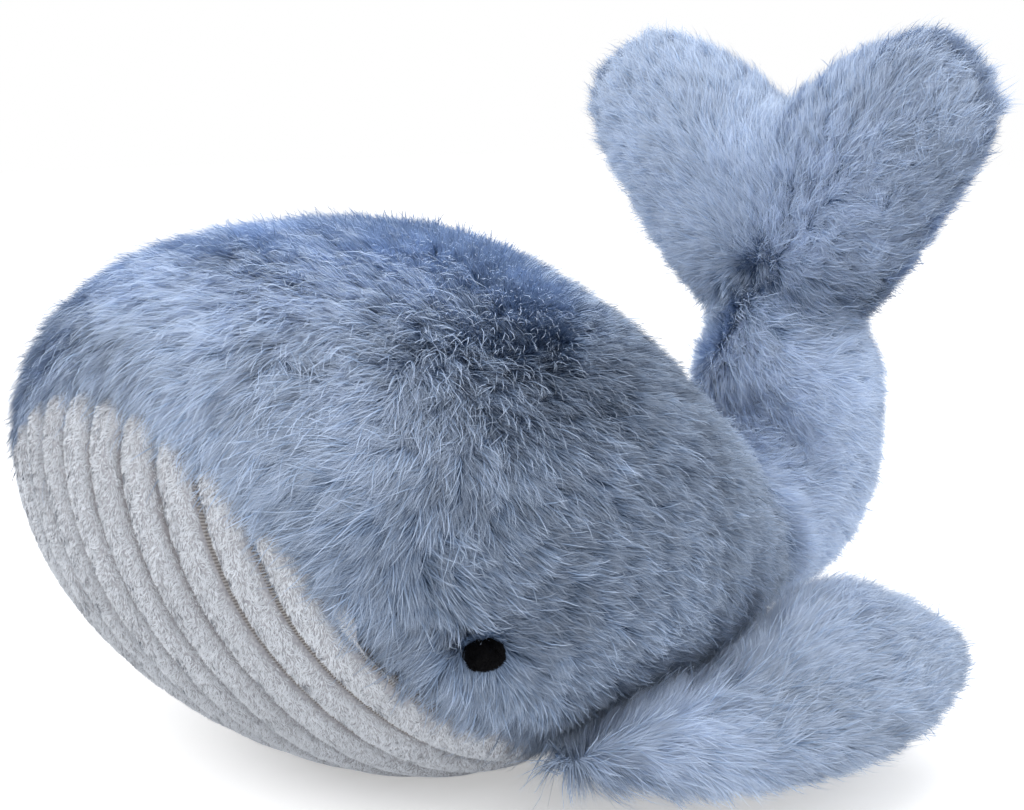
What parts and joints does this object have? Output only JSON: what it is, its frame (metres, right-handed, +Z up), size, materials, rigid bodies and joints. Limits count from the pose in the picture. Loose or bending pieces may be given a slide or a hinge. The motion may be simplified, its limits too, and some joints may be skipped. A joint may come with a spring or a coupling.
{
  "type": "stuffed toy whale",
  "caption": "Stuffed toy whale: long fur over its back, curled tail, heart-shaped fluke and flippers, a ribbed velour throat and stitched eyes, resting on its belly.",
  "frame": {"origin": "on the floor under the middle of the toy's bounding box", "axes": "+Z up, -Y towards the nose, +Y towards the tail, +X towards the whale's left side"},
  "size_m": [0.2836, 0.325, 0.2316],
  "materials": {
    "fur": "long dusty blue pile",
    "throat": "short pale velour",
    "eye": "black thread",
    "filling": "loose fibre",
    "bag": "bag of small pellets"
  },
  "bodies": {
    "body": {"back_panel_left": "fur", "back_panel_right": "fur", "throat_panel": "throat", "body_filling": "filling", "pellet_bag": "bag", "eye_left": "eye", "eye_right": "eye"},
    "tail_base": {"tail_base_panel_left": "fur", "tail_base_panel_right": "fur", "tail_base_filling": "filling"},
    "tail": {"tail_panel_left": "fur", "tail_panel_right": "fur", "tail_filling": "filling"},
    "fluke": {"fluke_front_panel": "fur", "fluke_back_panel": "fur", "fluke_filling": "filling"},
    "flipper_left": {"flipper_left_top_panel": "fur", "flipper_left_bottom_panel": "fur", "flipper_left_filling": "filling"},
    "flipper_right": {"flipper_right_top_panel": "fur", "flipper_right_bottom_panel": "fur", "flipper_right_filling": "filling"}
  },
  "joints": [
    {"name": "tail_wag", "type": "hinge", "parent": "body", "child": "tail_base", "pos_m": [0, 0.08206, 0.05319], "axis": [0, 0, 1], "range_deg": [-15, 15]},
    {"name": "tail_bend", "type": "hinge", "parent": "tail_base", "child": "tail", "pos_m": [0, 0.12847, 0.0677], "axis": [1, 0, 0], "range_deg": [-12, 12]},
    {"name": "fluke_fold", "type": "hinge", "parent": "tail", "child": "fluke", "pos_m": [0, 0.12683, 0.12257], "axis": [1, 0, 0], "range_deg": [-10, 12]},
    {"name": "flipper_left_flap", "type": "hinge", "parent": "body", "child": "flipper_left", "pos_m": [0.078, -0.03894, 0.026], "axis": [-0.0698, -0.9976, 0], "range_deg": [-18, 22]},
    {"name": "flipper_right_flap", "type": "hinge", "parent": "body", "child": "flipper_right", "pos_m": [-0.078, -0.03894, 0.026], "axis": [-0.0698, 0.9976, 0], "range_deg": [-18, 22]}
  ]
}
